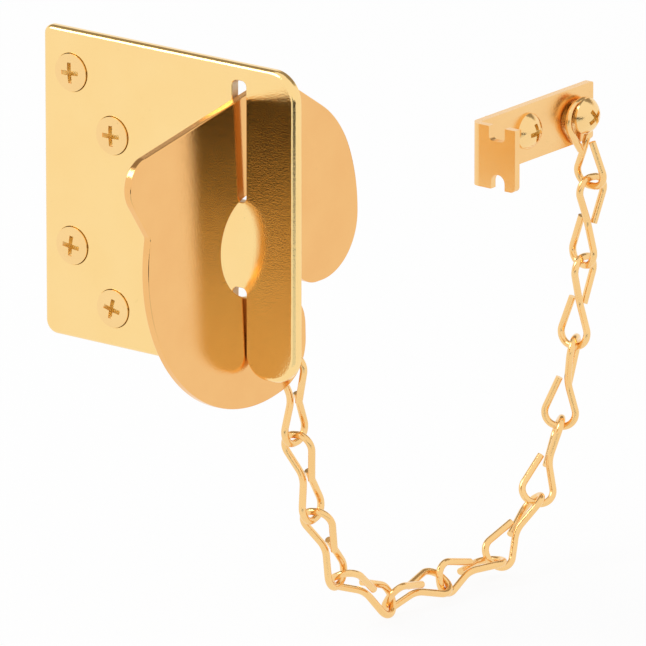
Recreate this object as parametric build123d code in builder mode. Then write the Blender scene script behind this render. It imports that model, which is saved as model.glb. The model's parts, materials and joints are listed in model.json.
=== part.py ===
# Security door bolt of bright brass: a slotted jamb plate, a round bolt plate that turns
# about the bridge between the two slots and hooks behind the plate, and a jack chain
# that ties the bolt to its holder bracket.
# Millimetres. The origin is the middle of the jamb plate's back face. +Y runs into the
# jamb, +X towards the door's edge and +Z up.
import os
from math import acos, asin, atan2, cos, degrees, hypot, radians, sin, sqrt, tan

from build123d import *

# Jamb plate: a pressed plate that lies on the jamb, with a slotted half standing free
plate_width = 68.8
plate_height = 69.3
plate_thickness = 2.3
free_corner_radius = 6.6
top_corner_radius = 2.0
bottom_corner_radius = 3.0
plate_front_round = 1.3
plate_back_round = 0.25

# Slots in the plate, one closed above the bridge and one open below it
slot_inset = 15.17
slot_top_margin = 3.55
slot_corner_radius = 1.2
slot_edge_round = 0.25
mouth_radius = 5.0
bridge_height = 19.1
bridge_drop = 5.3

# Bolt plate: a disc with a handle in front, cut away behind for a bay and a channel. Its
# radius fills the upper slot, and its other forms are set from its rim and its pivot
bolt_thickness = 1.9
bolt_lean = 1.4
bolt_setback = 1.7
bolt_edge_round = 0.3
side_gap = 0.1
bridge_gap = 1.15
bridge_sag = 0.7
slot_end_gap = 0.9

# Handle, as a round nose beyond the disc's rim, whose top runs back as a sloping straight
# edge that cuts the disc's top off
nose_overhang = 5.4
nose_radius = 6.4
handle_top_cut = 3.86
handle_top_slope = 10.1
handle_back_slope = 56.3
cusp_radius = 1.2

# Shoulder that trims the disc behind its top
shoulder_slope = 33.1
shoulder_cut = 2.3
shoulder_front_radius = 15.0
shoulder_back_radius = 24.0

# Bay behind the jamb, and the channel that lets the bolt come off the bridge. The channel
# runs from the bolt's hole to the bay's inner corner, turned a little below it
bay_reach = 17.3
bay_depth = 14.1
bay_hook_radius = 13.0
bay_foot_radius = 10.0
channel_width = 4.3
channel_turn = 3.3
channel_mouth_radius = 8.0
channel_root_radius = 1.2

# Chain hole in the bolt's lower back lobe
chain_hole_inset = 6.7
chain_hole_angle = 245.8
chain_hole_radius = 2.25

# Oval countersunk screws of the jamb plate
screw_head_radius = 4.2
screw_shank_radius = 2.1
screw_core_radius = 1.5
screw_length = 19.0
screw_shank_length = 7.5
screw_point_length = 3.2
countersink_angle = 82.0
screw_rim = 0.35
screw_crown = 0.4
screw_gap = 0.1
screw_column_inset = 7.9
screw_column_pitch = 11.2
screw_column_step = 12.2
screw_row_pitch = 38.8
screw_top_inset = 9.5
plate_screw_turns = [4.0, -6.0, 2.0, -12.0]

# Round head screws of the bracket
round_head_radius = 4.05
round_head_height = 2.9
round_head_rim = 0.5
bracket_screw_length = 13.0
bracket_shank_length = 5.0
bracket_screw_turns = [8.0, 34.0]

# Cross recess of every screw
recess_span = 4.7
recess_floor_span = 2.0
recess_width = 1.0
recess_depth = 1.9

# Holder bracket: a strip with one end bent forward and notched
bracket_length = 43.0
bracket_height = 12.9
tab_drop = 1.2
bracket_thickness = 1.7
bracket_reach = 12.3
bend_radius = 2.5
bend_inner_radius = 0.5
bracket_end_margin = 6.6
bracket_screw_pitch = 17.6
bracket_screw_rise = 6.9
top_notch_width = 4.3
top_notch_depth = 3.2
bottom_notch_width = 3.7
bottom_notch_depth = 3.4
notch_setback = 2.8
notch_corner_radius = 1.0
bracket_corner_radius = 0.6
foot_radius = 1.2

# Jack chain: figure of eight links of round wire, with the two loops a quarter turn apart
wire_radius = 0.8
link_length = 18.8
loop_radius = 3.05
ring_radius = 3.8
waist_radius = 6.0
end_gap_to_shank = 0.35
end_overrun = 0.7
link_gap = 0.3
ring_gap = 0.1
ring_play = 0.6
# How each link lies, from the bolt to the bracket, in degrees. Its heading is 180 straight
# back from the plate, 270 straight down and 90 straight up. Its sway is to the right and
# its roll is about its own length.
link_headings = [266.1, 258.4, 245.4, 212.2, 180.5, 179.3, 145.8, 126.6, 98.8, 97.3, 91.8, 79.3]
link_sways = [1.4, 6.3, 2.3, 6.4, 2.0, 2.2, -0.7, -5.8, 5.3, 2.2, 4.5, 0.0]
link_rolls = [0.0, -4.0, -10.0, -28.0, -58.0, -99.0, -124.0, -140.0, -155.0, -179.0, -192.0, 0.0]

# Places that follow from the sizes
plate_front_y = -plate_thickness
slot_x = plate_width / 2 - slot_inset
bridge_top = bridge_height / 2 - bridge_drop
bridge_bottom = -bridge_height / 2 - bridge_drop
pivot_y = bolt_setback
pivot_z = -bridge_drop - bridge_sag
front_offset = plate_thickness + bolt_setback
bolt_hole_radius = hypot(front_offset, bridge_height / 2) + bridge_gap
upper_slot_top = plate_height / 2 - slot_top_margin
bolt_radius = hypot(upper_slot_top - pivot_z, front_offset) - slot_end_gap
slot_span = upper_slot_top + plate_height / 2
lean = radians(bolt_lean)
slot_width = bolt_thickness / cos(lean) + slot_span * tan(lean) + 2 * side_gap
slot_middle_z = upper_slot_top - slot_span / 2
pivot_x = slot_x + (slot_middle_z - pivot_z) * tan(lean)

disc_x = pivot_x - bridge_sag * sin(lean)
disc_z = pivot_z + bridge_sag * cos(lean)
bolt_plane = Plane(
    origin=(disc_x, pivot_y, disc_z),
    x_dir=(0, -1, 0),
    z_dir=(-cos(lean), 0, -sin(lean)),
)

countersink_slope = tan(radians(countersink_angle / 2))
countersink_depth = (screw_head_radius - screw_shank_radius) / countersink_slope
plate_screw_points = []
for column in (0, 1):
    for row in (0, 1):
        screw_x = -plate_width / 2 + screw_column_inset + column * screw_column_pitch
        screw_z = (
            plate_height / 2 - screw_top_inset - column * screw_column_step - row * screw_row_pitch
        )
        plate_screw_points.append((screw_x, screw_z))


def polar(distance, angle):
    """A point in a sketch at this distance and angle in degrees from its origin."""
    return (distance * cos(radians(angle)), distance * sin(radians(angle)))


# Jamb plate
with BuildPart() as jamb_plate:
    with BuildSketch(Plane.XZ) as plate_outline:
        Rectangle(plate_width, plate_height)
        corners = plate_outline.vertices().group_by(Axis.X)
        left_corners = corners[0].sort_by(Axis.Y)
        fillet(corners[-1], free_corner_radius)
        fillet(left_corners[0], bottom_corner_radius)
        fillet(left_corners[-1], top_corner_radius)
    extrude(amount=plate_thickness)
    fillet(jamb_plate.faces().sort_by(Axis.Y)[0].edges(), plate_front_round)
    fillet(jamb_plate.faces().sort_by(Axis.Y)[-1].edges(), plate_back_round)
    with BuildSketch(Plane.XZ) as slots:
        upper_height = upper_slot_top - bridge_top
        with Locations((slot_x, bridge_top + upper_height / 2)):
            RectangleRounded(slot_width, upper_height, slot_corner_radius)
        with BuildLine():
            half_mouth = slot_width / 2 + mouth_radius
            bottom = -plate_height / 2
            right_foot = (slot_x + half_mouth, bottom)
            left_foot = (slot_x - half_mouth, bottom)
            right_side = (slot_x + slot_width / 2, bottom + mouth_radius)
            left_side = (slot_x - slot_width / 2, bottom + mouth_radius)
            right_top = (slot_x + slot_width / 2, bridge_bottom)
            left_top = (slot_x - slot_width / 2, bridge_bottom)
            Line(left_foot, right_foot)
            RadiusArc(right_foot, right_side, -mouth_radius)
            Line(right_side, right_top)
            Line(right_top, left_top)
            Line(left_top, left_side)
            RadiusArc(left_side, left_foot, -mouth_radius)
        make_face()
        slot_roof = slots.vertices().sort_by_distance((slot_x, bridge_bottom))[:2]
        fillet(slot_roof, slot_corner_radius)
    extrude(amount=plate_thickness, mode=Mode.SUBTRACT)
    upper_slot_edges = jamb_plate.faces().sort_by(Axis.Y)[0].inner_wires()[0].edges()
    fillet(upper_slot_edges, slot_edge_round)
    for screw_x, screw_z in plate_screw_points:
        with Locations(Plane(origin=(screw_x, plate_front_y, screw_z), z_dir=(0, -1, 0))):
            CounterSinkHole(
                radius=screw_shank_radius + screw_gap,
                counter_sink_radius=screw_head_radius + screw_gap,
                depth=plate_thickness,
                counter_sink_angle=countersink_angle,
            )
jamb_plate.part.label = "jamb_plate"

# Bolt plate, drawn in its own leaning plane with x forward and y up from the disc's
# centre. Its round hole lies a little lower, because the bolt rests on the bridge's top
top_slope = radians(handle_top_slope)
back_slope = radians(handle_back_slope)
nose_reach = bolt_radius + nose_overhang - nose_radius
top_distance = bolt_radius - handle_top_cut
nose_height = (top_distance - nose_radius - nose_reach * sin(top_slope)) / cos(top_slope)
nose_top = (
    nose_reach + nose_radius * sin(top_slope),
    nose_height + nose_radius * cos(top_slope),
)
nose_tip = (nose_reach + nose_radius, nose_height)
nose_back = (
    nose_reach + nose_radius * sin(back_slope),
    nose_height - nose_radius * cos(back_slope),
)
handle_length = nose_top[0] / cos(top_slope)
handle_root = (
    nose_top[0] - handle_length * cos(top_slope),
    nose_top[1] + handle_length * sin(top_slope),
)
neck_length = nose_back[1] / sin(back_slope)
handle_neck = (nose_back[0] - neck_length * cos(back_slope), 0)
shoulder_distance = bolt_radius - shoulder_cut
shoulder_foot = polar(shoulder_distance, 90 + shoulder_slope)
channel_angle = 180 + degrees(atan2(bay_depth, bay_reach)) + channel_turn
chain_hole = polar(bolt_radius - chain_hole_inset, chain_hole_angle)

with BuildPart() as bolt_plate:
    with BuildSketch(bolt_plane) as bolt_outline:
        Circle(bolt_radius)
        with BuildLine():
            Line(handle_root, nose_top)
            ThreePointArc(nose_top, nose_tip, nose_back)
            Line(nose_back, handle_neck)
            Line(handle_neck, (0, 0))
            Line((0, 0), handle_root)
        make_face()
        with Locations(nose_top):
            Rectangle(
                4 * bolt_radius,
                bolt_radius,
                rotation=-handle_top_slope,
                align=(Align.CENTER, Align.MIN),
                mode=Mode.SUBTRACT,
            )
        with Locations(shoulder_foot):
            Rectangle(
                2 * bolt_radius,
                bolt_radius,
                rotation=shoulder_slope,
                align=(Align.CENTER, Align.MIN),
                mode=Mode.SUBTRACT,
            )
        with Locations((-bay_reach, -bay_depth)):
            Rectangle(
                bolt_radius,
                bolt_radius,
                align=(Align.MAX, Align.MAX),
                mode=Mode.SUBTRACT,
            )
        with PolarLocations(0, 1, start_angle=channel_angle):
            Rectangle(
                bolt_radius,
                channel_width,
                align=(Align.MIN, Align.CENTER),
                mode=Mode.SUBTRACT,
            )
        with Locations((0, -bridge_sag)):
            Circle(bolt_hole_radius, mode=Mode.SUBTRACT)
        with Locations(chain_hole):
            Circle(chain_hole_radius, mode=Mode.SUBTRACT)

        shoulder_turn = degrees(acos(shoulder_distance / bolt_radius))
        shoulder_back = polar(bolt_radius, 90 + shoulder_slope + shoulder_turn)
        shoulder_front = polar(bolt_radius, 90 + shoulder_slope - shoulder_turn)
        bay_hook = (-sqrt(bolt_radius ** 2 - bay_depth ** 2), -bay_depth)
        bay_foot = (-bay_reach, -sqrt(bolt_radius ** 2 - bay_reach ** 2))
        handle_cusp = (nose_back[0] - nose_radius * cos(back_slope), nose_back[1] / 2)
        rounds = [
            (shoulder_front, shoulder_front_radius),
            (shoulder_back, shoulder_back_radius),
            (bay_hook, bay_hook_radius),
            (bay_foot, bay_foot_radius),
            (handle_cusp, cusp_radius),
        ]
        for corner, radius in rounds:
            fillet(bolt_outline.vertices().sort_by_distance(corner)[0], radius)
        mouth = bolt_outline.vertices().sort_by_distance((-bay_reach, -bay_depth))[:2]
        fillet(mouth, channel_mouth_radius)
        channel_root = polar(bolt_hole_radius, channel_angle)
        root = bolt_outline.vertices().sort_by_distance(channel_root)[:2]
        fillet(root, channel_root_radius)
    extrude(amount=bolt_thickness / 2, both=True)
    bolt_faces = bolt_plate.faces().sort_by(Axis.X)
    fillet(bolt_faces[0].edges() + bolt_faces[-1].edges(), bolt_edge_round)
bolt_plate.part.label = "bolt_plate"


# Screws, turned about the axis of a seat plane that faces out of the head
def wood_screw(seat, head_outline, length, shank_length, label):
    """One screw. Its head's outline runs from the top's middle to the shank, as pairs of
    radius and height above the seat, and the length is from the seat to the point."""
    top = head_outline[0]
    rim = head_outline[1]
    with BuildPart() as screw:
        with BuildSketch(Plane(origin=seat.origin, x_dir=seat.x_dir, z_dir=-seat.y_dir)):
            with BuildLine():
                TangentArc(top, rim, tangent=(1, 0))
                Polyline(
                    *head_outline[1:],
                    (screw_shank_radius, -shank_length),
                    (screw_core_radius, screw_core_radius - screw_shank_radius - shank_length),
                    (screw_core_radius, screw_point_length - length),
                    (0, -length),
                    top,
                )
            make_face()
        revolve(axis=Axis(seat.origin, seat.z_dir))
        for side, across in ((seat.x_dir, -seat.y_dir), (seat.y_dir, seat.x_dir)):
            with BuildSketch(Plane(origin=seat.origin, x_dir=side, z_dir=across)):
                with BuildLine():
                    Polyline(
                        (-recess_span / 2, top[1]),
                        (-recess_floor_span / 2, top[1] - recess_depth),
                        (recess_floor_span / 2, top[1] - recess_depth),
                        (recess_span / 2, top[1]),
                        close=True,
                    )
                make_face()
            extrude(amount=recess_width / 2, both=True, mode=Mode.SUBTRACT)
    screw.part.label = label
    return screw.part


def screw_seat(point, outward, turn):
    """The plane under a screw's head, turned about the screw's axis so that its recess
    stands at this angle from upright, in degrees."""
    sideways = Vector(0, 0, 1).rotate(Axis((0, 0, 0), outward), turn)
    return Plane(origin=point, x_dir=sideways, z_dir=outward)


oval_head = [
    (0, screw_rim + screw_crown),
    (screw_head_radius, screw_rim),
    (screw_head_radius, 0),
    (screw_shank_radius, -countersink_depth),
]
plate_screws = []
for number, (screw_x, screw_z) in enumerate(plate_screw_points):
    seat = screw_seat((screw_x, plate_front_y, screw_z), (0, -1, 0), plate_screw_turns[number])
    label = f"plate_screw_{number + 1}"
    plate_screws.append(wood_screw(seat, oval_head, screw_length, screw_shank_length, label))


# Jack chain. Each link has a frame: its origin is the link's middle, z runs along the
# link towards the bracket, x across its loop nearer the bolt and y across its other loop
def link_direction(heading, sway):
    """The direction in which a link lies, from its heading and its sway in degrees."""
    flat = cos(radians(sway))
    return Vector(
        sin(radians(sway)),
        -cos(radians(heading)) * flat,
        sin(radians(heading)) * flat,
    )


link_reach = link_length / 2 + wire_radius
hook_step = 2 * wire_radius + link_gap
link_ways = [link_direction(*angles) for angles in zip(link_headings, link_sways)]
link_frames = []
link_hooks = []
bend_drop = loop_radius - sqrt(loop_radius ** 2 - (bolt_thickness / 2) ** 2)
hook_rise = wire_radius + link_gap + bend_drop - chain_hole_radius
hook = Vector(
    disc_x - chain_hole[1] * sin(lean),
    pivot_y - chain_hole[0],
    disc_z + chain_hole[1] * cos(lean) + hook_rise,
)
for way, next_way, roll in zip(link_ways, link_ways[1:] + link_ways[-1:], link_rolls):
    level = Vector(1, 0, 0) - way * way.X
    across = level.rotate(Axis((0, 0, 0), way), roll)
    frame = Plane(origin=hook + way * link_reach, x_dir=across, z_dir=way)
    link_frames.append(frame)
    link_hooks.append(hook)
    pull = (way + next_way).normalized()
    bend_pull = (pull - frame.x_dir * pull.dot(frame.x_dir)).normalized()
    bend_centre = hook + way * (2 * link_reach - loop_radius)
    hook = bend_centre + bend_pull * loop_radius - pull * hook_step


def loop_corner(radius):
    """How far to each side of a link's middle line the corners of its loop lie, for the
    bend at the loop's end to be an arc of this radius."""
    return link_reach * tan(asin(radius / (link_reach - radius)))


def jack_link(frame, far_radius, label):
    """One link of round wire, whose nearer loop has the chain's bend radius and whose
    other loop has its own."""
    half = loop_corner(loop_radius)
    far_half = loop_corner(far_radius)
    end_offset = 2 * wire_radius + end_gap_to_shank
    corners = [
        (end_offset, 0, end_overrun),
        (half, 0, -link_reach),
        (-half, 0, -link_reach),
        (0, 0, 0),
        (0, far_half, link_reach),
        (0, -far_half, link_reach),
        (0, -end_offset, -end_overrun),
    ]
    radii = [loop_radius, loop_radius, waist_radius, far_radius, far_radius]
    with BuildPart() as link:
        with BuildLine() as route:
            FilletPolyline(*[frame.from_local_coords(corner) for corner in corners], radius=radii)
        with BuildSketch(Plane(origin=route.line @ 0, z_dir=route.line % 0)):
            Circle(wire_radius)
        sweep(path=route.line)
    link.part.label = label
    return link.part


chain_links = []
for number, frame in enumerate(link_frames[:-1]):
    chain_links.append(jack_link(frame, loop_radius, f"chain_link_{number + 1:02d}"))
ring_frame = link_frames[-1]
chain_links.append(jack_link(ring_frame, ring_radius, "chain_ring_link"))

# Holder bracket, hung by its right screw in the chain's ring
ring_top = ring_frame.origin + ring_frame.z_dir * link_reach
neck_drop = wire_radius + ring_gap + screw_shank_radius
neck_y = ring_top.Y
neck_z = ring_top.Z - neck_drop
bracket_front_x = ring_top.X - wire_radius - ring_play
bracket_back_x = bracket_front_x - bracket_thickness
bracket_right_y = neck_y + bracket_end_margin
bracket_left_y = bracket_right_y - bracket_length
bracket_bottom = neck_z - bracket_screw_rise
bracket_top = bracket_bottom + bracket_height
tab_x = bracket_back_x + bracket_reach
bracket_screw_ys = (neck_y - bracket_screw_pitch, neck_y)

with BuildPart() as holder_bracket:
    with BuildSketch(Plane.XY.offset(bracket_bottom - tab_drop)) as strip:
        with BuildLine():
            inner_y = bracket_left_y + bracket_thickness
            Polyline(
                (bracket_back_x, bracket_right_y),
                (bracket_back_x, bracket_left_y),
                (tab_x, bracket_left_y),
                (tab_x, inner_y),
                (bracket_front_x, inner_y),
                (bracket_front_x, bracket_right_y),
                close=True,
            )
        make_face()
        bend_outside = strip.vertices().sort_by_distance((bracket_back_x, bracket_left_y))[0]
        fillet(bend_outside, bend_radius)
        bend_inside = strip.vertices().sort_by_distance((bracket_front_x, inner_y))[0]
        fillet(bend_inside, bend_inner_radius)
    extrude(amount=bracket_height + tab_drop)
    with BuildSketch(Plane.YZ.offset(bracket_back_x)):
        with Locations((bracket_left_y + bend_radius, bracket_bottom)):
            Rectangle(bracket_length, tab_drop, align=(Align.MIN, Align.MAX))
    extrude(amount=bracket_thickness, mode=Mode.SUBTRACT)
    with BuildSketch(Plane.XZ.offset(-bracket_left_y)):
        notch_right = tab_x - notch_setback
        with Locations((notch_right - top_notch_width / 2, bracket_top - top_notch_depth)):
            RectangleRounded(
                top_notch_width,
                2 * top_notch_depth,
                notch_corner_radius,
                align=(Align.CENTER, Align.MIN),
            )
        with Locations((notch_right - bottom_notch_width / 2, bracket_bottom - tab_drop)):
            SlotOverall(
                2 * bottom_notch_depth,
                bottom_notch_width,
                rotation=90,
            )
    extrude(amount=-bracket_thickness, mode=Mode.SUBTRACT)
    end_corners = holder_bracket.edges().filter_by(Axis.X).group_by(Axis.Y)[-1]
    fillet(end_corners, bracket_corner_radius)
    tab_corners = holder_bracket.edges().filter_by(Axis.Y).group_by(Axis.X)[-1]
    fillet(tab_corners.sort_by(Axis.Z)[0], foot_radius)
    for screw_y in bracket_screw_ys:
        with Locations(Plane(origin=(bracket_front_x, screw_y, neck_z), z_dir=(1, 0, 0))):
            Hole(screw_shank_radius + screw_gap, depth=bracket_thickness)
holder_bracket.part.label = "holder_bracket"

round_head = [
    (0, round_head_height),
    (round_head_radius, round_head_rim),
    (round_head_radius, 0),
    (screw_shank_radius, 0),
]
ring_stack = 2 * (wire_radius + ring_play)
bracket_screws = []
for number, screw_y in enumerate(bracket_screw_ys):
    lift = number * ring_stack
    under_head = (bracket_front_x + lift, screw_y, neck_z)
    seat = screw_seat(under_head, (1, 0, 0), bracket_screw_turns[number])
    label = f"bracket_screw_{number + 1}"
    bracket_screws.append(
        wood_screw(seat, round_head, bracket_screw_length, bracket_shank_length, label)
    )

os.makedirs("parts", exist_ok=True)
pieces = [jamb_plate.part, bolt_plate.part, holder_bracket.part]
pieces += plate_screws + chain_links + bracket_screws
for piece in pieces:
    export_step(piece, f"parts/{piece.label}.step")
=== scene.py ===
import json
from math import cos, pi, radians, sin

import bmesh
import bpy
import numpy as np
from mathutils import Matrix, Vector


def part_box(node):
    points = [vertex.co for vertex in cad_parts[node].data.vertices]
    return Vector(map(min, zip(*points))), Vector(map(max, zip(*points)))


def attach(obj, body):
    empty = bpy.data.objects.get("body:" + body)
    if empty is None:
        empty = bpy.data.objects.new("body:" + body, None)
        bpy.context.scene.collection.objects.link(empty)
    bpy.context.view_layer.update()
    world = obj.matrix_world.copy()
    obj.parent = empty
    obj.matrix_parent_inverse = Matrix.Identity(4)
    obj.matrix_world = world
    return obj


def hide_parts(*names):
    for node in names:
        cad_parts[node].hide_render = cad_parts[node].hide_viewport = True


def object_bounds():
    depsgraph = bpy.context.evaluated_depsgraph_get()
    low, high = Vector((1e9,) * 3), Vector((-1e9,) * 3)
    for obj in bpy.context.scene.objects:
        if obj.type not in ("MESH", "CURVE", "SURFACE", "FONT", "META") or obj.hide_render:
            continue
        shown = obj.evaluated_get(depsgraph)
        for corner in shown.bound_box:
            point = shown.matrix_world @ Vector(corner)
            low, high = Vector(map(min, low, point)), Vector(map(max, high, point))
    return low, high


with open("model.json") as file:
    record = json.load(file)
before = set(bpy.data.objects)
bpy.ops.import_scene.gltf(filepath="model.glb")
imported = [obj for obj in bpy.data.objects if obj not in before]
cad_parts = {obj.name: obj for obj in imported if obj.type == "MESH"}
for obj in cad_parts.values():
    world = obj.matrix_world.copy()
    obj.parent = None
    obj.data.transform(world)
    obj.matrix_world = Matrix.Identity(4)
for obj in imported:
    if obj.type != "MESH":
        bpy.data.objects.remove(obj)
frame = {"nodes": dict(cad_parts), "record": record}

cad_lo, cad_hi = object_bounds()

# Camera. The photograph looks down a little from the right of the plate's front, through
# a long lens, so that lines that run back hardly close up.
camera_azimuth = radians(37.6)
camera_elevation = radians(16.8)
camera_distance = 2.65
camera_aim = Vector((0.0154, 0.0320, -0.03165))
camera_side = Vector((sin(camera_azimuth), -cos(camera_azimuth), 0.0))
camera_back = camera_side * cos(camera_elevation) + Vector((0.0, 0.0, sin(camera_elevation)))
camera_data = bpy.data.cameras.new("camera")
camera_data.lens = 682.0
camera_data.sensor_width = 36.0
camera_data.clip_end = 20.0
camera = bpy.data.objects.new("camera", camera_data)
camera.location = camera_aim + camera_back * camera_distance
camera.rotation_mode = "QUATERNION"
camera.rotation_quaternion = (-camera_back).to_track_quat("-Z", "Y")
bpy.context.scene.collection.objects.link(camera)
bpy.context.scene.camera = camera
bpy.context.scene.view_settings.view_transform = "Standard"

# Studio. A white room and a white floor under the chain's lowest link, and one wide soft
# lamp at the upper left. Polished metal also sees a dim front floor and a dim back wall.
white = (1.0, 1.0, 1.0, 1.0)
white_level = 1.0
room_light = 0.85
paper_white = (0.9, 0.9, 0.9, 1.0)
paper_glow = 0.9
floor_half = 4.0
floor_drop = 0.0002


def add_node(tree, kind, inputs=None, **settings):
    """A new node of a tree. It gets its settings first. Then each input that is named here
    takes its value, or a link where the value is another node's output."""
    node = tree.nodes.new(kind)
    for name, value in settings.items():
        setattr(node, name, value)
    for socket, value in (inputs or {}).items():
        if isinstance(value, bpy.types.NodeSocket):
            tree.links.new(value, node.inputs[socket])
        else:
            node.inputs[socket].default_value = value
    return node


def worked_out(tree, operation, first, second):
    """The output of one operation on two numbers, each a value or another node's output."""
    return add_node(tree, "ShaderNodeMath", {0: first, 1: second}, operation=operation).outputs[0]


def seen_or_mirrored(tree):
    """1 where the camera, a mirror or glass looks at the surface, and 0 elsewhere."""
    path = add_node(tree, "ShaderNodeLightPath")
    either = path.outputs["Is Camera Ray"]
    for ray in ("Is Glossy Ray", "Is Transmission Ray"):
        either = worked_out(tree, "MAXIMUM", either, path.outputs[ray])
    return either


world = bpy.data.worlds.new("white_room")
world.use_nodes = True
bpy.context.scene.world = world
tree = world.node_tree
tree.nodes.clear()
lit = add_node(tree, "ShaderNodeBackground", {"Color": white, "Strength": room_light})
shown = add_node(tree, "ShaderNodeBackground", {"Color": white, "Strength": white_level})
mixed = add_node(
    tree,
    "ShaderNodeMixShader",
    {0: seen_or_mirrored(tree), 1: lit.outputs[0], 2: shown.outputs[0]},
)
add_node(tree, "ShaderNodeOutputWorld", {"Surface": mixed.outputs[0]})

floor_z = cad_lo.z - floor_drop
floor_mesh = bpy.data.meshes.new("floor")
floor_mesh.from_pydata(
    [
        (-floor_half, -floor_half, floor_z),
        (floor_half, -floor_half, floor_z),
        (floor_half, floor_half, floor_z),
        (-floor_half, floor_half, floor_z),
    ],
    [],
    [(0, 1, 2, 3)],
)
floor = bpy.data.objects.new("floor", floor_mesh)
bpy.context.scene.collection.objects.link(floor)
floor_paper = bpy.data.materials.new("white_paper")
floor_paper.use_nodes = True
tree = floor_paper.node_tree
tree.nodes.clear()
matt = add_node(tree, "ShaderNodeBsdfDiffuse", {"Color": paper_white})
glow = add_node(tree, "ShaderNodeEmission", {"Strength": white_level})
share = worked_out(tree, "MULTIPLY", seen_or_mirrored(tree), paper_glow)
mixed = add_node(tree, "ShaderNodeMixShader", {0: share, 1: matt.outputs[0], 2: glow.outputs[0]})
add_node(tree, "ShaderNodeOutputMaterial", {"Surface": mixed.outputs[0]})
floor_mesh.materials.append(floor_paper)


def grid_faces(index, closed):
    """Quads between neighbours in a grid of point numbers. Each joins two points that are
    next to each other in a row to the same two of the next row. In closed rows the last
    point is next to the first."""
    turned = np.roll(index, -1, axis=1)
    last = None if closed else -1
    corners = (index[:-1, :last], turned[:-1, :last], turned[1:, :last], index[1:, :last])
    return np.stack(corners, axis=-1).reshape(-1, 4).tolist()


def mirror_card(name, points, colour, measure, near, far):
    """A card that only polished metal sees, as a grid of points. Its brightness follows a
    direction: it falls smoothly between two distances along measure, each given with the
    brightness there."""
    index = np.arange(points[..., 0].size).reshape(points.shape[:2])
    mesh = bpy.data.meshes.new(name)
    mesh.from_pydata(points.reshape(-1, 3).tolist(), [], grid_faces(index, closed=False))
    material = bpy.data.materials.new(name)
    material.use_nodes = True
    tree = material.node_tree
    tree.nodes.clear()
    place = add_node(tree, "ShaderNodeTexCoord")
    reach = add_node(
        tree,
        "ShaderNodeVectorMath",
        {0: place.outputs["Object"], 1: measure},
        operation="DOT_PRODUCT",
    )
    fade = add_node(
        tree,
        "ShaderNodeMapRange",
        {
            "Value": reach.outputs["Value"],
            "From Min": near[0],
            "From Max": far[0],
            "To Min": near[1],
            "To Max": far[1],
        },
        interpolation_type="SMOOTHSTEP",
    )
    dim = add_node(
        tree, "ShaderNodeEmission", {"Color": (*colour, 1.0), "Strength": fade.outputs["Result"]}
    )
    add_node(tree, "ShaderNodeOutputMaterial", {"Surface": dim.outputs[0]})
    mesh.materials.append(material)
    card = bpy.data.objects.new(name, mesh)
    bpy.context.scene.collection.objects.link(card)
    card.visible_camera = False
    card.visible_diffuse = False
    card.visible_shadow = False


front_headings = camera_azimuth + np.radians(np.linspace(-26.0, 30.0, 9))[None, :]
front_reaches = np.linspace(0.12, 2.0, 8)[:, None]
front_rise = 0.001
front_points = np.broadcast_arrays(
    front_reaches * np.sin(front_headings),
    -front_reaches * np.cos(front_headings),
    floor_z + front_rise,
)
mirror_card(
    "dim_front_floor",
    np.stack(front_points, axis=-1),
    colour=(0.88, 0.95, 1.0),
    measure=camera_side,
    near=(0.377, 0.90),
    far=(0.402, 0.03),
)

back_radius = 2.1
back_turns = camera_azimuth + np.radians(np.linspace(22.0, 158.0, 17))[None, :]
back_heights = np.radians(np.linspace(24.0, 62.0, 9))[:, None]
back_ways = np.broadcast_arrays(
    np.cos(back_heights) * np.cos(back_turns),
    np.cos(back_heights) * np.sin(back_turns),
    np.sin(back_heights),
)
mirror_card(
    "dim_back_wall",
    back_radius * np.stack(back_ways, axis=-1),
    colour=(1.0, 0.88, 0.72),
    measure=(0.0, 0.0, 1.0),
    near=(0.9, 0.9),
    far=(1.15, 0.33),
)

lamp_data = bpy.data.lights.new("soft_box", "AREA")
lamp_data.shape = "RECTANGLE"
lamp_data.size = 0.9
lamp_data.size_y = 0.7
lamp_data.energy = 9.0
lamp = bpy.data.objects.new("soft_box", lamp_data)
lamp.location = (-0.75, -0.95, 1.15)
lamp.rotation_mode = "QUATERNION"
lamp.rotation_quaternion = (camera_aim - lamp.location).to_track_quat("-Z", "Y")
bpy.context.scene.collection.objects.link(lamp)

# Jamb plate. A pressed square plate of brass plated steel, buffed bright, with a slot
# above and below the bridge. It replaces the CAD node, because that one has the corners
# at the lower slot's mouth notched in where the real plate rounds them off.
tone_scale = 90.0
line_scale = 5200.0
line_stretch = (0.06, 0.5, 1.0)
line_lean = radians(7.0)
line_span = (0.35, 0.7)
grain_scale = 3200.0
grain_height = 0.000022
speck_scale = 700.0
speck_patch_scale = 150.0
speck_edge = (0.13, 0.04)
speck_patch_edge = (0.56, 0.66)
speck_brown = (0.20, 0.085, 0.02)
speck_height = 0.00003
speck_strength = 0.6
unbuffed_roughness = 0.5


def new_marks(name, numbers, outputs, vectors=()):
    """An empty group of nodes for one kind of mark on brass, with its named inputs and
    outputs, the outputs of its input node, and its output node."""
    group = bpy.data.node_groups.new(name, "ShaderNodeTree")
    for kind, sockets in (("NodeSocketFloat", numbers), ("NodeSocketVector", vectors)):
        for socket in sockets:
            group.interface.new_socket(socket, in_out="INPUT", socket_type=kind)
    for socket in outputs:
        group.interface.new_socket(socket, in_out="OUTPUT", socket_type="NodeSocketFloat")
    given = add_node(group, "NodeGroupInput")
    return group, given.outputs, add_node(group, "NodeGroupOutput")


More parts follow.
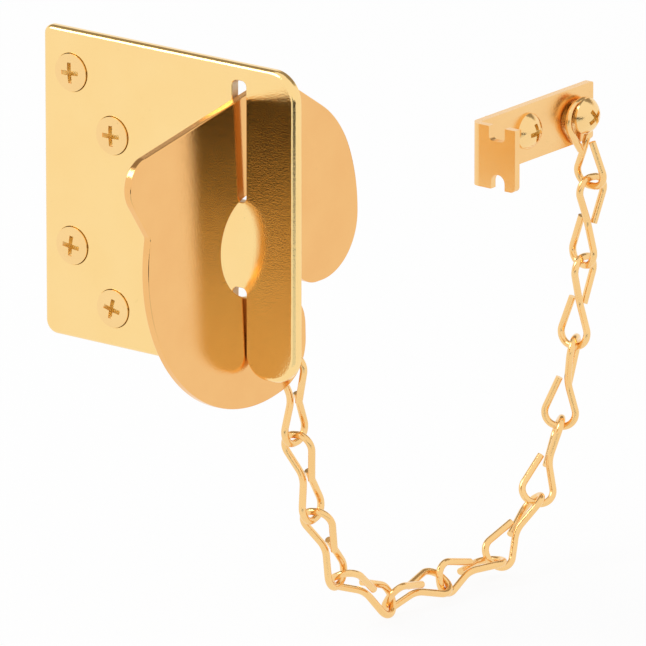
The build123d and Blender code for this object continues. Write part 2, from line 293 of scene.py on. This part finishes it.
def buffed_waves():
    """Broad waves of the buffed skin, as a height, and the drift of its tone. Both are
    noise over the place on the object."""
    group, given, result = new_marks(
        "buffed_waves", ("Wave Scale", "Tone Scale"), ("Height", "Tint")
    )
    place = add_node(group, "ShaderNodeTexCoord").outputs["Object"]
    waves = add_node(
        group,
        "ShaderNodeTexNoise",
        {"Vector": place, "Scale": given["Wave Scale"], "Detail": 1.0, "Roughness": 0.4},
    )
    tint = add_node(
        group, "ShaderNodeTexNoise", {"Vector": place, "Scale": given["Tone Scale"], "Detail": 3.0}
    )
    group.links.new(waves.outputs["Fac"], result.inputs["Height"])
    group.links.new(tint.outputs["Fac"], result.inputs["Tint"])
    return group


def buffing_lines():
    """Fine lines left by the buffing wheel, as noise stretched along the piece, and the
    skin's grain, as finer noise."""
    group, given, result = new_marks(
        "buffing_lines", ("Line Scale", "Grain Scale"), ("Lines", "Grain")
    )
    place = add_node(group, "ShaderNodeTexCoord").outputs["Object"]
    stretched = add_node(
        group,
        "ShaderNodeMapping",
        {"Vector": place, "Scale": line_stretch, "Rotation": (0.0, line_lean, 0.0)},
    )
    lines = add_node(
        group,
        "ShaderNodeTexNoise",
        {"Vector": stretched.outputs["Vector"], "Scale": given["Line Scale"], "Detail": 4.0},
    )
    grain = add_node(
        group, "ShaderNodeTexNoise", {"Vector": place, "Scale": given["Grain Scale"], "Detail": 2.0}
    )
    group.links.new(lines.outputs["Fac"], result.inputs["Lines"])
    group.links.new(grain.outputs["Fac"], result.inputs["Grain"])
    return group


def plating_specks():
    """Small specks left by the plating, near the middle of scattered cells. Only some
    patches of the surface have them: the specks times the patches."""
    group, given, result = new_marks("plating_specks", ("Speck Scale", "Patch Scale"), ("Specks",))
    place = add_node(group, "ShaderNodeTexCoord").outputs["Object"]
    cells = add_node(
        group,
        "ShaderNodeTexVoronoi",
        {"Vector": place, "Scale": given["Speck Scale"], "Randomness": 1.0},
    )
    patches = add_node(
        group, "ShaderNodeTexNoise", {"Vector": place, "Scale": given["Patch Scale"]}
    )
    shares = []
    for value, edge in (
        (cells.outputs["Distance"], speck_edge),
        (patches.outputs["Fac"], speck_patch_edge),
    ):
        ranged = add_node(
            group,
            "ShaderNodeMapRange",
            {"Value": value, "From Min": edge[0], "From Max": edge[1]},
        )
        shares.append(ranged.outputs["Result"])
    group.links.new(worked_out(group, "MULTIPLY", *shares), result.inputs["Specks"])
    return group


def worked_hollow():
    """1 inside a hollow that no buffing wheel reaches, and 0 elsewhere. There the finish turns
    matt and takes a colour with painted light and shade. Inside is within a radius of the z
    axis and past a depth along it."""
    group, given, result = new_marks(
        "worked_hollow", ("Radius", "Depth"), ("Inside",), vectors=("Place",)
    )
    across = add_node(
        group,
        "ShaderNodeVectorMath",
        {0: given["Place"], 1: (1.0, 1.0, 0.0)},
        operation="MULTIPLY",
    )
    reach = add_node(
        group, "ShaderNodeVectorMath", {0: across.outputs["Vector"]}, operation="LENGTH"
    )
    along = add_node(group, "ShaderNodeSeparateXYZ", {"Vector": given["Place"]})
    near_axis = worked_out(group, "LESS_THAN", reach.outputs["Value"], given["Radius"])
    deep = worked_out(group, "GREATER_THAN", along.outputs["Z"], given["Depth"])
    group.links.new(worked_out(group, "MULTIPLY", near_axis, deep), result.inputs["Inside"])
    return group


brass_marks = {
    "waves": buffed_waves(),
    "lines": buffing_lines(),
    "specks": plating_specks(),
    "hollow": worked_hollow(),
}


def blended(tree, kind, share, first, second):
    """The first colour or number where the share is 0, and the second where it is 1."""
    mix = add_node(
        tree, "ShaderNodeMix", {"Factor": share, "A": first, "B": second}, data_type=kind
    )
    return mix.outputs["Result"]


def bright_brass(name, pale, deep, dull_and_painted_light, wave_size, wave_height, smooth, rough, speck_share):
    """Polished brass that drifts from a pale to a deep tone, whose reflections bend over
    waves of the given size and height, and whose fine lines and specks catch the light. A
    piece's own attribute, punched, and the hollow make walls that no buffing wheel reaches
    rougher, and give them a colour of their own, which is partly their unbuffed tone and
    partly painted light and shade, set for each piece."""
    material = bpy.data.materials.new(name)
    material.use_nodes = True
    tree = material.node_tree
    shader = tree.nodes["Principled BSDF"]
    shader.inputs["Metallic"].default_value = 1.0
    waves = add_node(
        tree,
        "ShaderNodeGroup",
        {"Wave Scale": 1.0 / wave_size, "Tone Scale": tone_scale},
        node_tree=brass_marks["waves"],
    )
    lines = add_node(
        tree,
        "ShaderNodeGroup",
        {"Line Scale": line_scale, "Grain Scale": grain_scale},
        node_tree=brass_marks["lines"],
    )
    specks = add_node(
        tree,
        "ShaderNodeGroup",
        {"Speck Scale": speck_scale, "Patch Scale": speck_patch_scale},
        node_tree=brass_marks["specks"],
    )
    speck_mask = worked_out(tree, "MULTIPLY", specks.outputs["Specks"], speck_share)
    punched = add_node(tree, "ShaderNodeAttribute", attribute_name="punched")
    place = add_node(tree, "ShaderNodeTexCoord")
    from_hollow = add_node(
        tree,
        "ShaderNodeMapping",
        {"Vector": place.outputs["Object"]},
        name="from_hollow",
        vector_type="TEXTURE",
    )
    hollow = add_node(
        tree,
        "ShaderNodeGroup",
        {"Place": from_hollow.outputs["Vector"], "Radius": 0.0, "Depth": 0.0},
        name="hollow",
        node_tree=brass_marks["hollow"],
    )
    # Punched walls and hollows: rougher, and coloured partly by their unbuffed tone and partly by
    # painted light and shade.
    unbuffed_painted_light_share = worked_out(tree, "MAXIMUM", punched.outputs["Fac"], hollow.outputs["Inside"])

    tone = blended(tree, "RGBA", waves.outputs["Tint"], (*pale, 1.0), (*deep, 1.0))
    specked = blended(tree, "RGBA", speck_mask, tone, (*speck_brown, 1.0))
    # The painted light and shade of those walls goes into the colour here.
    colour = blended(tree, "RGBA", unbuffed_painted_light_share, specked, (*dull_and_painted_light, 1.0))
    sheen = add_node(
        tree,
        "ShaderNodeMapRange",
        {
            "Value": lines.outputs["Lines"],
            "From Min": line_span[0],
            "From Max": line_span[1],
            "To Min": smooth,
            "To Max": rough,
        },
    )
    roughness = blended(tree, "FLOAT", unbuffed_painted_light_share, sheen.outputs["Result"], unbuffed_roughness)
    broad = add_node(
        tree,
        "ShaderNodeBump",
        {"Strength": 1.0, "Distance": wave_height, "Height": waves.outputs["Height"]},
    )
    satin = add_node(
        tree,
        "ShaderNodeBump",
        {
            "Strength": 1.0,
            "Distance": grain_height,
            "Height": lines.outputs["Grain"],
            "Normal": broad.outputs["Normal"],
        },
    )
    raised = add_node(
        tree,
        "ShaderNodeBump",
        {
            "Strength": speck_strength,
            "Distance": speck_height,
            "Height": speck_mask,
            "Normal": satin.outputs["Normal"],
        },
    )
    tree.links.new(colour, shader.inputs["Base Color"])
    tree.links.new(roughness, shader.inputs["Roughness"])
    tree.links.new(raised.outputs["Normal"], shader.inputs["Normal"])
    return material


def wear(node_name, material):
    """The CAD node takes this finish."""
    node = frame["nodes"][node_name]
    node.data.materials.clear()
    node.data.materials.append(material)


def with_hollow(material, name, centre, axis, radius, depth):
    """A copy of the finish for one piece, matt inside a hollow about the given axis, with a colour
    there that holds painted light and shade.
    """
    finish = material.copy()
    finish.name = name
    mapping = finish.node_tree.nodes["from_hollow"]
    mapping.inputs["Location"].default_value = centre
    mapping.inputs["Rotation"].default_value = Vector(axis).to_track_quat("Z", "Y").to_euler()
    hollow = finish.node_tree.nodes["hollow"]
    hollow.inputs["Radius"].default_value = radius
    hollow.inputs["Depth"].default_value = depth
    return finish


plate_brass = bright_brass(
    "plate_brass",
    pale=(0.985, 0.715, 0.325),
    deep=(0.965, 0.665, 0.275),
    # On the punched slot walls: a darker, greyer colour, partly unbuffed brass and partly painted
    # shade.
    dull_and_painted_light=(0.70, 0.55, 0.38),
    wave_size=0.016,
    wave_height=0.00004,
    smooth=0.08,
    rough=0.12,
    speck_share=0.2,
)
plate_half_width = 0.0344
plate_half_height = 0.03465
plate_depth = 0.0023
slot_middle = 0.01923
slot_half = 0.001854
slot_left = slot_middle - slot_half
slot_right = slot_middle + slot_half
slot_end_round = 0.0012
slot_mouth_round = 0.005
bridge_foot = -0.01485
bridge_head = 0.00425
upper_slot_end = 0.0311
border_round = 0.0013
edge_round = 0.00025
screw_places = ((-0.0265, 0.02515), (-0.0265, -0.01365), (-0.0153, 0.01295), (-0.0153, -0.02585))
countersink_front = 0.0043
countersink_back = 0.0023
countersink_steps = 64
corner_steps = 13
front_steps = 8
back_steps = 4


def rounded_outline(corners, radii):
    """An outline through corners, with its outward normals. At each corner the normal
    turns evenly from the side before to the side after, and the point is the arc's centre
    plus the radius along that normal. An inner corner's radius counts as negative."""
    corner = np.array(corners, float)
    radius = np.array(radii, float)
    before = corner - np.roll(corner, 1, axis=0)
    before /= np.linalg.norm(before, axis=1)[:, None]
    after = np.roll(before, -1, axis=0)
    normal = np.stack((before[:, 1], -before[:, 0]), axis=1)
    cross = before[:, 0] * after[:, 1] - before[:, 1] * after[:, 0]
    turn = np.arctan2(cross, (before * after).sum(axis=1))
    start = corner - before * (radius * np.tan(abs(turn) / 2.0))[:, None]
    signed = radius * np.sign(turn)
    centre = start - normal * signed[:, None]
    first = np.arctan2(normal[:, 1], normal[:, 0])
    angle = first[:, None] + turn[:, None] * np.linspace(0.0, 1.0, corner_steps)[None, :]
    normals = np.stack((np.cos(angle), np.sin(angle)), axis=-1)
    points = centre[:, None, :] + normals * signed[:, None, None]
    return points.reshape(-1, 2), normals.reshape(-1, 2)


def sheet_rim(outline, front_round, lean_in, punched):
    """The rim of the sheet along an outline, in rows from its flat front to its flat back.
    The front edge is a quarter round, the wall leans in evenly by the given amount, and
    the back edge is a small quarter round. Gives points, normals and the share of the
    wall that turns matt and darker, partly unbuffed and partly painted shade."""
    points, normals = outline
    count = len(points)
    front = np.linspace(0.0, pi / 2.0, front_steps)[:, None]
    back = np.linspace(0.0, pi / 2.0, back_steps)[:, None]
    round_front = np.broadcast_to(front_round, (1, count))
    round_back = np.full((1, count), edge_round)
    inward = np.vstack(
        (round_front * (1.0 - np.sin(front)) + lean_in, round_back * (1.0 - np.cos(back)))
    )
    depth = np.vstack(
        (round_front * (1.0 - np.cos(front)) - plate_depth, round_back * (np.sin(back) - 1.0))
    )
    outward = np.vstack((np.sin(front), np.cos(back)))
    backward = np.vstack((-np.cos(front), np.sin(back)))
    off_the_flats = abs(backward) < 0.99
    backward = backward - outward * (lean_in / plate_depth) * off_the_flats
    place = np.stack(
        (
            points[None, :, 0] - normals[None, :, 0] * inward,
            depth,
            points[None, :, 1] - normals[None, :, 1] * inward,
        ),
        axis=-1,
    )
    facing = np.stack(
        np.broadcast_arrays(
            normals[None, :, 0] * outward, backward, normals[None, :, 1] * outward
        ),
        axis=-1,
    )
    facing = facing / np.linalg.norm(facing, axis=-1)[:, :, None]
    on_the_wall = outward > 0.95
    return place, facing, on_the_wall * np.broadcast_to(punched, (1, count))


def sheet_piece(name, rims):
    """One closed sheet from its rims. Quads join each rim's rows, and the flat front and
    back are filled between all rims. Every point keeps the exact normal of its form."""
    starts = np.cumsum([0] + [rim[2].size for rim in rims])
    faces = []
    for start, rim in zip(starts, rims):
        faces += grid_faces(np.arange(rim[2].size).reshape(rim[2].shape) + start, closed=True)
    points = np.concatenate([rim[0].reshape(-1, 3) for rim in rims])
    facing = np.concatenate([rim[1].reshape(-1, 3) for rim in rims])
    dull_and_painted_light = np.concatenate([rim[2].reshape(-1) for rim in rims])
    mesh = bpy.data.meshes.new(name)
    mesh.from_pydata(points.tolist(), [], faces)
    shell = bmesh.new()
    shell.from_mesh(mesh)
    for level, normal in ((-plate_depth, (0.0, -1.0, 0.0)), (0.0, (0.0, 1.0, 0.0))):
        open_edges = [
            edge
            for edge in shell.edges
            if edge.is_boundary and abs(edge.verts[0].co.y - level) < edge_round / 2.0
        ]
        bmesh.ops.triangle_fill(shell, use_beauty=True, edges=open_edges, normal=normal)
    bmesh.ops.recalc_face_normals(shell, faces=shell.faces)
    shell.to_mesh(mesh)
    shell.free()
    mesh.shade_smooth()
    mesh.normals_split_custom_set_from_vertices(facing.tolist())
    # The punched walls' share: matt and darker there, partly unbuffed brass and partly painted
    # shade.
    attribute = mesh.attributes.new("punched", "FLOAT", "POINT")
    attribute.data.foreach_set("value", dull_and_painted_light.astype(np.float32))
    piece = bpy.data.objects.new(name, mesh)
    bpy.context.scene.collection.objects.link(piece)
    return piece


# Each corner of the outer outline, with its radius, and whether the sides before and after
# it are walls of the lower slot.
outer_corners = (
    ((-plate_half_width, -plate_half_height), 0.003, 0, 0),
    ((slot_left, -plate_half_height), slot_mouth_round, 0, 1),
    ((slot_left, bridge_foot), slot_end_round, 1, 1),
    ((slot_right, bridge_foot), slot_end_round, 1, 1),
    ((slot_right, -plate_half_height), slot_mouth_round, 1, 0),
    ((plate_half_width, -plate_half_height), 0.0066, 0, 0),
    ((plate_half_width, plate_half_height), 0.0066, 0, 0),
    ((-plate_half_width, plate_half_height), 0.002, 0, 0),
)
outer_places, outer_radii, slot_before, slot_after = zip(*outer_corners)
slot_share = np.linspace(slot_before, slot_after, corner_steps, axis=1).reshape(1, -1)
outer_round = border_round + (edge_round - border_round) * slot_share
upper_slot = rounded_outline(
    (
        (slot_left, bridge_head),
        (slot_left, upper_slot_end),
        (slot_right, upper_slot_end),
        (slot_right, bridge_head),
    ),
    (slot_end_round, slot_end_round, slot_end_round, slot_end_round),
)
rims = [
    sheet_rim(rounded_outline(outer_places, outer_radii), outer_round, 0.0, slot_share),
    sheet_rim(upper_slot, edge_round, 0.0, 1.0),
]
hole_turn = np.linspace(0.0, -2.0 * pi, countersink_steps, endpoint=False)
hole_way = np.stack((np.cos(hole_turn), np.sin(hole_turn)), axis=-1)
for place in screw_places:
    hole = (np.array(place) + hole_way * countersink_back, -hole_way)
    rims.append(sheet_rim(hole, edge_round / 2.0, countersink_front - countersink_back, 0.0))
slotted_plate = sheet_piece("slotted_plate", rims)
slotted_plate.data.materials.append(plate_brass)
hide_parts("jamb_plate")
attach(slotted_plate, "jamb")

# Plate screws. Oval head wood screws of solid brass with a cross recess, driven into the
# jamb until their heads fill the countersinks. A rolled thread runs from shank to point.
screw_brass = bright_brass(
    "screw_brass",
    pale=(0.975, 0.70, 0.33),
    deep=(0.93, 0.60, 0.25),
    # In the cross recess: brighter than the open head, painted light where the recess is shaded.
    dull_and_painted_light=(0.98, 0.76, 0.36),
    wave_size=0.006,
    wave_height=0.00003,
    smooth=0.12,
    rough=0.2,
    speck_share=0.3,
)
thread_pitch = 0.0017
thread_core = 0.00148
thread_crest = 0.0021
thread_root = -0.25
thread_foot = 0.00045
thread_land = 0.00008
thread_steps_a_turn = 28
thread_least = 0.02
point_length = 0.0032
point_start = 0.0002
point_least = 0.05
plate_thread_run = 0.0108
recess_reach = 0.0026
oval_recess_start = 0.00024


def capped_tube(name, points):
    """A closed tube through rows of points, with one face over each end row."""
    index = np.arange(points[..., 0].size).reshape(points.shape[:2])
    caps = [index[0, ::-1].tolist(), index[-1].tolist()]
    mesh = bpy.data.meshes.new(name)
    mesh.from_pydata(points.reshape(-1, 3).tolist(), [], grid_faces(index, closed=True) + caps)
    mesh.validate()
    piece = bpy.data.objects.new(name, mesh)
    bpy.context.scene.collection.objects.link(piece)
    return piece


def screw_thread(name, tip, out_of_point, run):
    """A ridge wound round a screw's core. Along the turn angle it climbs one pitch a turn
    from the point. Its section is a low triangle on the core, whose height fades in over
    the first and the last turn, and the core shrinks to nothing at the point."""
    turns = run / thread_pitch
    angle = np.linspace(0.0, turns * 2.0 * pi, int(turns * thread_steps_a_turn) + 1)
    climb = angle / (2.0 * pi) * thread_pitch
    core = thread_core * np.clip((climb + point_start) / point_length, point_least, 1.0)
    fade = np.clip(np.minimum(angle, angle[-1] - angle) / (2.0 * pi), thread_least, 1.0)
    height = (thread_crest - thread_core) * fade
    section_out = np.array((thread_root, 1.0, 1.0, thread_root))
    section_up = np.array((-thread_foot, -thread_land, thread_land, thread_foot))
    radius = core[:, None] + height[:, None] * section_out[None, :]
    along = climb[:, None] + section_up[None, :] * fade[:, None]
    axis = np.array(out_of_point, float)
    side = np.array((0.0, 0.0, 1.0))
    points = (
        np.array(tip)[None, None, :]
        + axis * along[:, :, None]
        + side * (radius * np.cos(angle)[:, None])[:, :, None]
        + np.cross(axis, side) * (radius * np.sin(angle)[:, None])[:, :, None]
    )
    return capped_tube(name, points)


def finished_screw(node_name, thread_name, way_in, recess_start, thread_run):
    """The screw's node takes the finish, matt in its recess and brighter there with painted
    light, and gets a thread, which is returned. Its crown and tip are the middle of its
    box, less and plus half of the box along the way in."""
    low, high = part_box(node_name)
    way = Vector(way_in)
    half = abs((high - low).dot(way)) / 2.0
    middle = (low + high) / 2.0
    finish = with_hollow(
        screw_brass,
        f"{node_name}_brass",
        middle - way * half,
        way_in,
        radius=recess_reach,
        depth=recess_start,
    )
    wear(node_name, finish)
    thread = screw_thread(thread_name, middle + way * half, -way, thread_run)
    thread.data.materials.append(screw_brass)
    return thread


for number in (1, 2, 3, 4):
    thread = finished_screw(
        f"plate_screw_{number}",
        f"plate_screw_thread_{number}",
        way_in=(0, 1, 0),
        recess_start=oval_recess_start,
        thread_run=plate_thread_run,
    )
    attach(thread, "jamb")

# Bolt plate. A round plate of the same brass with a handle in front, pressed from flat
# sheet. It stands across the jamb plate's slots and turns about the bridge between them.
bolt_brass = bright_brass(
    "bolt_brass",
    pale=(0.925, 0.545, 0.21),
    deep=(0.865, 0.46, 0.165),
    # On the hole's wall: matt, with a paler, less orange colour painted in place of the orange
    # light that bounces there.
    dull_and_painted_light=(0.86, 0.62, 0.32),
    wave_size=0.018,
    wave_height=0.00005,
    smooth=0.08,
    rough=0.12,
    speck_share=0.2,
)
bolt_axis = frame["record"]["behaviour"]["joints"][0]
bolt_hole_reach = 0.01156
right_through = -1.0
wear(
    "bolt_plate",
    with_hollow(
        bolt_brass,
        "bolt_plate_brass",
        bolt_axis["pos_m"],
        bolt_axis["axis"],
        radius=bolt_hole_reach,
        depth=right_through,
    ),
)

# Jack chain. Each link is one length of brass wire, bent into two loops a quarter turn
# apart, with its cut ends left open beside the waist. The last link ends in a wide ring.
chain_brass = bright_brass(
    "chain_brass",
    pale=(0.965, 0.655, 0.30),
    deep=(0.92, 0.565, 0.22),
    dull_and_painted_light=(0.80, 0.58, 0.30),
    wave_size=0.004,
    wave_height=0.00003,
    smooth=0.12,
    rough=0.22,
    speck_share=0.25,
)
chain_links = [f"chain_link_{number:02d}" for number in range(1, 12)] + ["chain_ring_link"]
for node_name in chain_links:
    wear(node_name, chain_brass)

# Holder bracket. A strip of brass sheet with one end folded forward and notched above and
# below, where the bolt plate hangs when it is off the door.
bracket_brass = bright_brass(
    "bracket_brass",
    pale=(0.97, 0.645, 0.29),
    deep=(0.915, 0.545, 0.22),
    dull_and_painted_light=(0.80, 0.58, 0.30),
    wave_size=0.012,
    wave_height=0.00004,
    smooth=0.2,
    rough=0.23,
    speck_share=0.3,
)
wear("holder_bracket", bracket_brass)

# Bracket screws. Round head wood screws of brass. The right one goes through the chain's
# ring, which it traps under its head.
bracket_thread_run = 0.0075
dome_recess_start = 0.0008
for number in (1, 2):
    thread = finished_screw(
        f"bracket_screw_{number}",
        f"bracket_screw_thread_{number}",
        way_in=(-1, 0, 0),
        recess_start=dome_recess_start,
        thread_run=bracket_thread_run,
    )
    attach(thread, "bracket")
